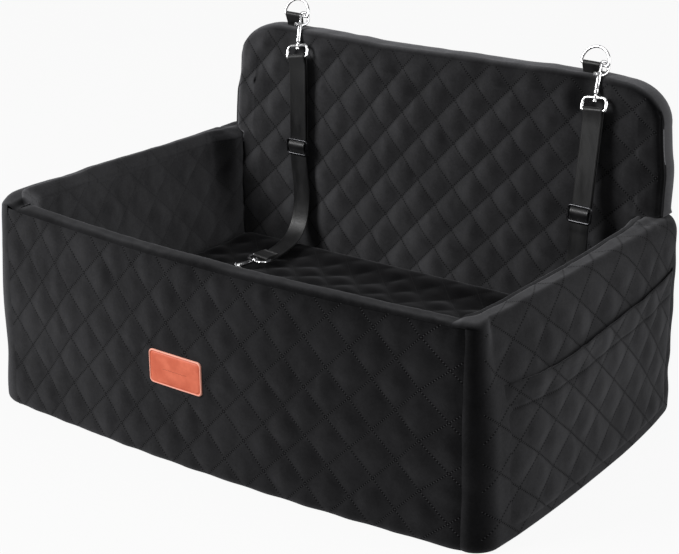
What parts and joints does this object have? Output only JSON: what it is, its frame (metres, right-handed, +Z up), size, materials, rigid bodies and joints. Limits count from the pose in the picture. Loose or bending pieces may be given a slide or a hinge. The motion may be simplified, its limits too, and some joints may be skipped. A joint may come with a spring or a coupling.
{
  "type": "dog car seat",
  "caption": "Quilted velvet dog car seat with foam walls, a tall back, a thick cushion, side pockets and clip-on tethers.",
  "frame": {"origin": "centre of the resting underside, halfway across the seat, on the plane it stands on", "axes": "+X to the right seen from the front, +Y to the back, +Z up"},
  "size_m": [0.7226, 0.4621, 0.448],
  "materials": {
    "quilted_velvet": "black quilted short-pile velvet",
    "webbing": "black satin webbing",
    "base_fabric": "black woven non-slip underside",
    "foam": "cellular foam",
    "board": "stiff board",
    "label_leather": "smooth brown-orange leather",
    "chrome": "bright",
    "enamel": "black enamel",
    "zip_metal": "black"
  },
  "bodies": {
    "seat": {"front_wall_cover": "quilted_velvet", "front_wall_foam": "foam", "left_wall_cover": "quilted_velvet", "left_wall_foam": "foam", "right_wall_cover": "quilted_velvet", "right_wall_foam": "foam", "backrest_cover": "quilted_velvet", "backrest_foam": "foam", "base_cover": "base_fabric", "base_board": "board", "cushion_cover": "quilted_velvet", "cushion_filling": "foam", "cushion_zip_tape": "webbing", "left_side_pocket": "quilted_velvet", "right_side_pocket": "quilted_velvet", "front_label": "label_leather", "left_ring_tab": "webbing", "right_ring_tab": "webbing"},
    "cushion_zip_pull": {"cushion_zip_pull": "zip_metal"},
    "left_d_ring": {"left_d_ring": "chrome"},
    "left_upper_hook": {"left_upper_hook": "chrome"},
    "left_upper_bolt": {"left_upper_bolt": "chrome"},
    "left_strap": {"left_upper_eye": "chrome", "left_strap": "webbing"},
    "left_slider": {"left_slider": "enamel"},
    "left_lower_eye": {"left_lower_eye": "chrome"},
    "left_lower_hook": {"left_lower_hook": "chrome"},
    "left_lower_bolt": {"left_lower_bolt": "chrome"},
    "right_d_ring": {"right_d_ring": "chrome"},
    "right_upper_hook": {"right_upper_hook": "chrome"},
    "right_upper_bolt": {"right_upper_bolt": "chrome"},
    "right_strap": {"right_upper_eye": "chrome", "right_strap": "webbing"},
    "right_slider": {"right_slider": "enamel"},
    "right_lower_eye": {"right_lower_eye": "chrome"},
    "right_lower_hook": {"right_lower_hook": "chrome"},
    "right_lower_bolt": {"right_lower_bolt": "chrome"}
  },
  "joints": [
    {"name": "cushion_zip", "type": "slide", "parent": "seat", "child": "cushion_zip_pull", "axis": [1, 0, 0], "range_m": [-0.38, 0.024]},
    {"name": "left_ring_hinge", "type": "hinge", "parent": "seat", "child": "left_d_ring", "pos_m": [-0.2135, 0.2, 0.423], "axis": [1, 0, 0], "range_deg": [-10, 60]},
    {"name": "left_hook_swing", "type": "hinge", "parent": "seat", "child": "left_upper_hook", "pos_m": [-0.2135, 0.2, 0.423], "axis": [1, 0, 0], "range_deg": [-45, 0]},
    {"name": "left_upper_bolt_slide", "type": "slide", "parent": "left_upper_hook", "child": "left_upper_bolt", "axis": [0.1828, -0.3987, -0.8986], "range_m": [0, 0.0065], "stiffness_N_per_m": 400, "springref_m": -0.004},
    {"name": "left_upper_swivel", "type": "hinge", "parent": "left_upper_hook", "child": "left_strap", "pos_m": [-0.20325, 0.19595, 0.42422], "axis": [-0.1828, 0.3987, 0.8986], "range_deg": [-10, 20]},
    {"name": "left_slider_slide", "type": "slide", "parent": "left_strap", "child": "left_slider", "axis": [-0.008, -0.0191, 0.9998], "range_m": [-0.01, 0.07]},
    {"name": "left_lower_eye_hinge", "type": "hinge", "parent": "left_strap", "child": "left_lower_eye", "pos_m": [-0.182, 0.084, 0.1329], "axis": [0.989, -0.1478, 0], "range_deg": [-70, 0]},
    {"name": "left_lower_swivel", "type": "hinge", "parent": "left_lower_eye", "child": "left_lower_hook", "pos_m": [-0.18992, 0.03099, 0.1329], "axis": [-0.1478, -0.989, 0], "range_deg": [-30, 90]},
    {"name": "left_lower_bolt_slide", "type": "slide", "parent": "left_lower_hook", "child": "left_lower_bolt", "axis": [0.1478, 0.989, 0], "range_m": [0, 0.0065], "stiffness_N_per_m": 400, "springref_m": -0.004},
    {"name": "right_ring_hinge", "type": "hinge", "parent": "seat", "child": "right_d_ring", "pos_m": [0.225, 0.2, 0.427], "axis": [1, 0, 0], "range_deg": [-10, 60]},
    {"name": "right_hook_swing", "type": "hinge", "parent": "seat", "child": "right_upper_hook", "pos_m": [0.225, 0.2, 0.427], "axis": [1, 0, 0], "range_deg": [-45, 0]},
    {"name": "right_upper_bolt_slide", "type": "slide", "parent": "right_upper_hook", "child": "right_upper_bolt", "axis": [0.0799, -0.3987, -0.9136], "range_m": [0, 0.0065], "stiffness_N_per_m": 400, "springref_m": -0.004},
    {"name": "right_upper_swivel", "type": "hinge", "parent": "right_upper_hook", "child": "right_strap", "pos_m": [0.23541, 0.19595, 0.42853], "axis": [-0.0799, 0.3987, 0.9136], "range_deg": [-10, 20]},
    {"name": "right_slider_slide", "type": "slide", "parent": "right_strap", "child": "right_slider", "axis": [0.0056, 0.1351, 0.9908], "range_m": [-0.01, 0.07]},
    {"name": "right_lower_eye_hinge", "type": "hinge", "parent": "right_strap", "child": "right_lower_eye", "pos_m": [0.233, 0.078, 0.1329], "axis": [0.989, -0.1478, 0], "range_deg": [-70, 0]},
    {"name": "right_lower_swivel", "type": "hinge", "parent": "right_lower_eye", "child": "right_lower_hook", "pos_m": [0.22508, 0.02499, 0.1329], "axis": [-0.1478, -0.989, 0], "range_deg": [-30, 90]},
    {"name": "right_lower_bolt_slide", "type": "slide", "parent": "right_lower_hook", "child": "right_lower_bolt", "axis": [0.1478, 0.989, 0], "range_m": [0, 0.0065], "stiffness_N_per_m": 400, "springref_m": -0.004}
  ]
}
